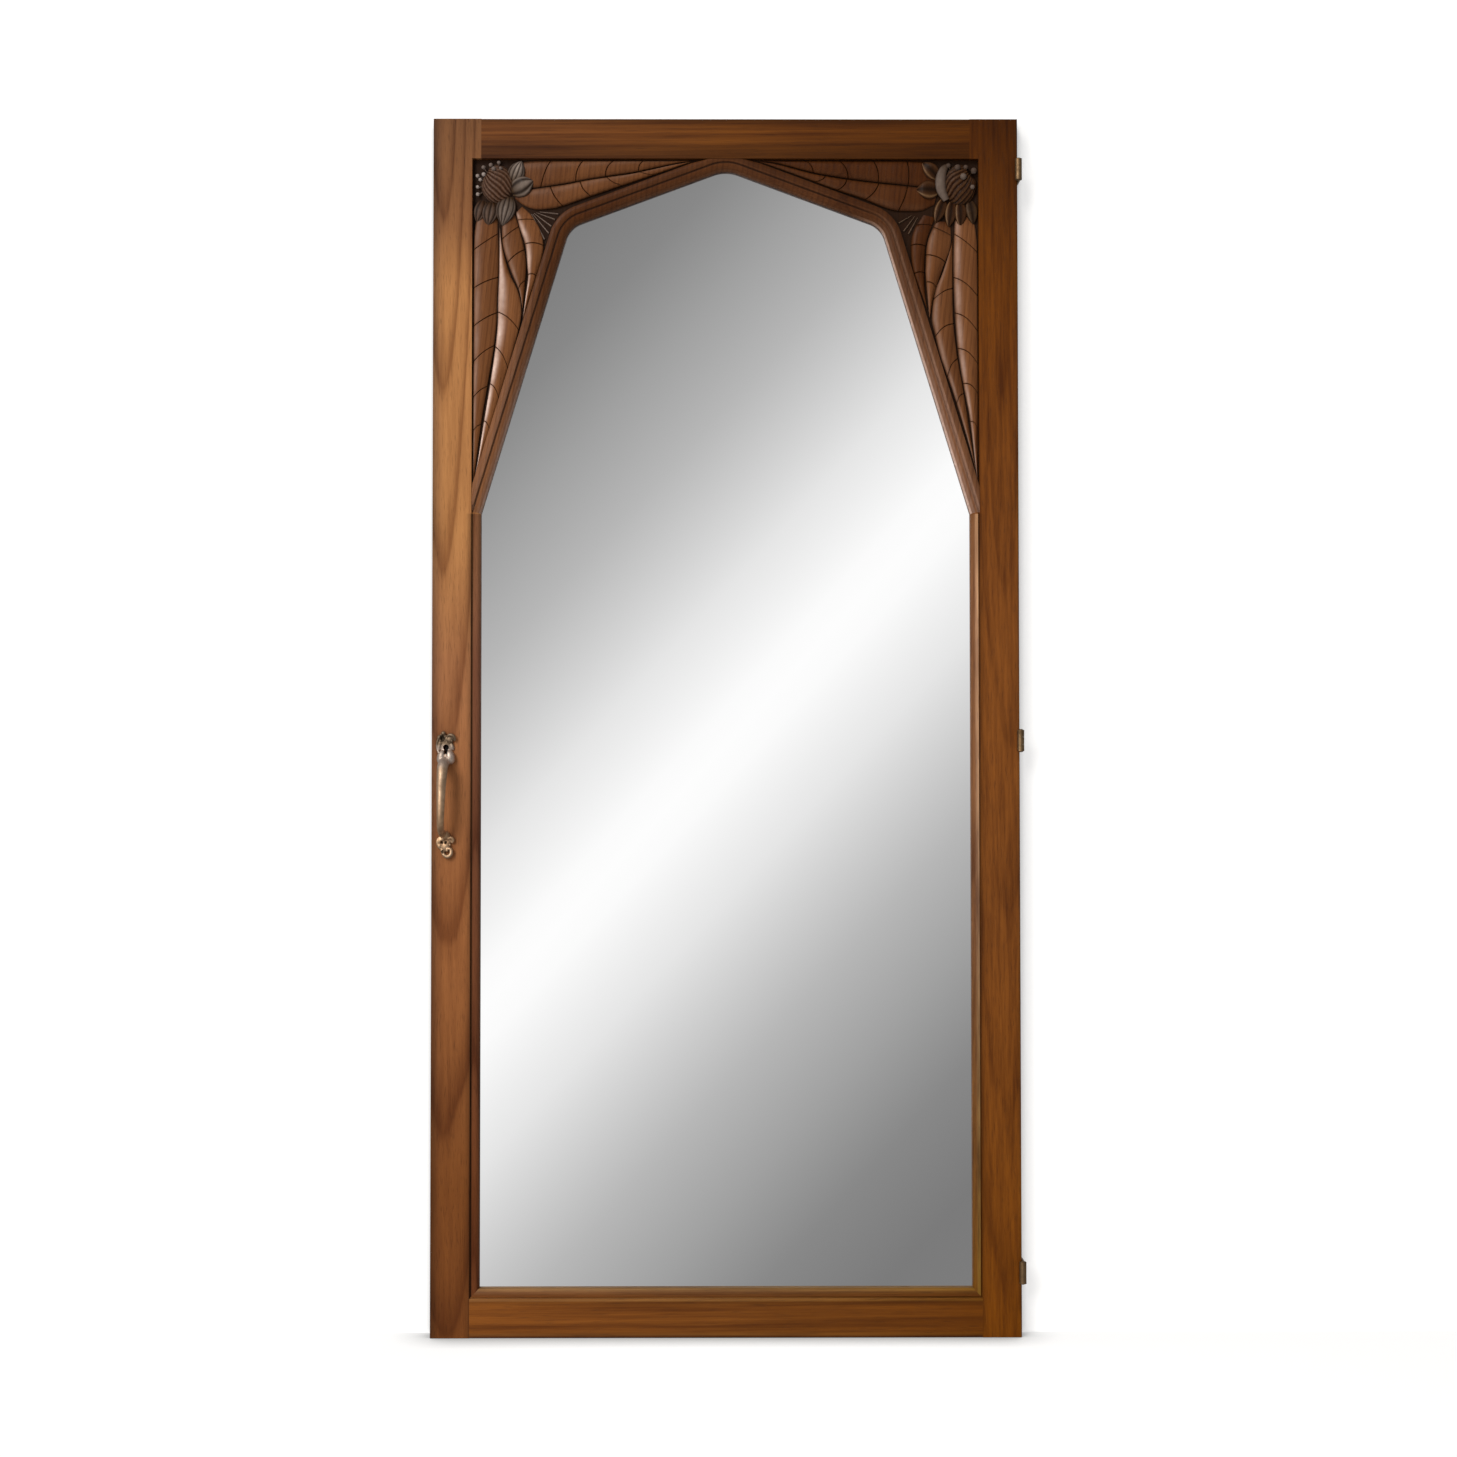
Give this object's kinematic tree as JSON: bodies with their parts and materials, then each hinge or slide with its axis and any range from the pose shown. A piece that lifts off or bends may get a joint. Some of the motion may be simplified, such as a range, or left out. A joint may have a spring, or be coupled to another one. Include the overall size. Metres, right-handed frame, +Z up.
{
  "type": "mirrored wardrobe door",
  "caption": "Tall wooden door with a mirror under carved leaf and flower spandrels, a cast pull with a keyhole, side-hung butt hinges and a sliding lock bolt.",
  "frame": {"origin": "middle of the door's bottom edge, at half its thickness", "axes": "+Z up the door, +X to the right seen from the front, -Y out of the mirror's face"},
  "size_m": [0.8497, 0.0687, 1.75],
  "materials": {
    "frame_wood": "satin, waxed",
    "carved_wood": "satin, worn",
    "peg_wood": "matt",
    "back_wood": "raw, sawn",
    "mirror": "polished, silvered behind",
    "hinge_brass": "aged",
    "pull_bronze": "cast, aged",
    "lock_iron": "dull",
    "screw_steel": "dull"
  },
  "bodies": {
    "cabinet_side": {"cabinet_leaf_top": "hinge_brass", "cabinet_leaf_middle": "hinge_brass", "cabinet_leaf_bottom": "hinge_brass"},
    "door": {"left_stile": "frame_wood", "right_stile": "frame_wood", "top_rail": "frame_wood", "bottom_rail": "frame_wood", "tenon_pegs": "peg_wood", "left_spandrel": "carved_wood", "right_spandrel": "carved_wood", "mirror_glass": "mirror", "setting_blocks": "back_wood", "glass_blocks": "back_wood", "back_board_left": "back_wood", "back_board_middle": "back_wood", "back_board_right": "back_wood", "back_screws": "screw_steel", "door_leaf_top": "hinge_brass", "door_leaf_middle": "hinge_brass", "door_leaf_bottom": "hinge_brass", "hinge_pin_top": "hinge_brass", "hinge_pin_middle": "hinge_brass", "hinge_pin_bottom": "hinge_brass", "hinge_screws": "screw_steel", "pull_handle": "pull_bronze", "handle_pins": "pull_bronze", "lock_plate": "lock_iron", "lock_case": "lock_iron", "bolt_spring": "lock_iron", "lock_screws": "screw_steel"},
    "bolt": {"lock_bolt": "hinge_brass"}
  },
  "joints": [
    {"name": "door_swing", "type": "hinge", "parent": "cabinet_side", "child": "door", "pos_m": [0.42275, -0.0203, 0.8505], "axis": [0, 0, 1], "range_deg": [0, 120]},
    {"name": "bolt_throw", "type": "slide", "parent": "door", "child": "bolt", "axis": [-1, 0, 0], "range_m": [0, 0.008], "deforming": ["bolt_spring"]}
  ]
}
